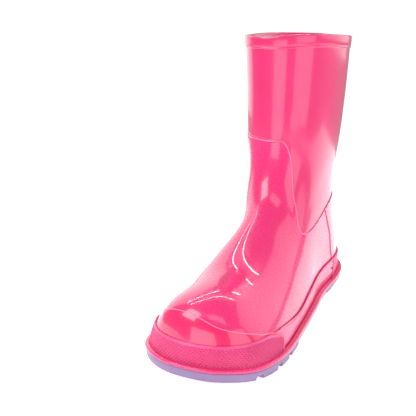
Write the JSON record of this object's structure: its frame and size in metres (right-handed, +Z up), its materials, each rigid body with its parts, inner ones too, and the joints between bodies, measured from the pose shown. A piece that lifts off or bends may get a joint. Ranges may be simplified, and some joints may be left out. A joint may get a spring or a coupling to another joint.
{
  "type": "rubber rain boot",
  "caption": "Child's glossy pink rubber rain boot for the left foot, with a knurled toe bumper, foxing strips, a lilac lugged outsole, knit lining and a loose footbed",
  "frame": {"origin": "centre of the bounding box in plan, on the ground under the sole", "axes": "+Z up; -Y towards the toe and +Y towards the heel; +X towards the outer side of the left foot"},
  "size_m": [0.0802, 0.2136, 0.176],
  "materials": {
    "gloss_rubber": "high gloss, wet look",
    "matte_rubber": "matte",
    "sole_rubber": "satin",
    "stiffener": "rubbered fabric",
    "knit": "soft white knit",
    "board": "fibre board",
    "foam": "closed cell foam"
  },
  "bodies": {
    "boot": {"shaft": "gloss_rubber", "vamp": "gloss_rubber", "toe_cap": "gloss_rubber", "heel_stay": "gloss_rubber", "rim_band": "gloss_rubber", "foxing_outer": "gloss_rubber", "foxing_inner": "gloss_rubber", "toe_bumper": "matte_rubber", "foxing_heel": "matte_rubber", "welt_bead": "gloss_rubber", "outsole": "sole_rubber", "toe_puff": "stiffener", "heel_counter": "stiffener", "sole_filler": "stiffener", "lining": "knit", "insole_board": "board"},
    "footbed": {"footbed_foam": "foam", "footbed_cover": "knit"}
  },
  "joints": [
    {"name": "footbed_lift", "type": "hinge", "parent": "boot", "child": "footbed", "pos_m": [0, -0.0933, 0.0083], "axis": [1, 0, 0], "range_deg": [0, 3.5]}
  ]
}
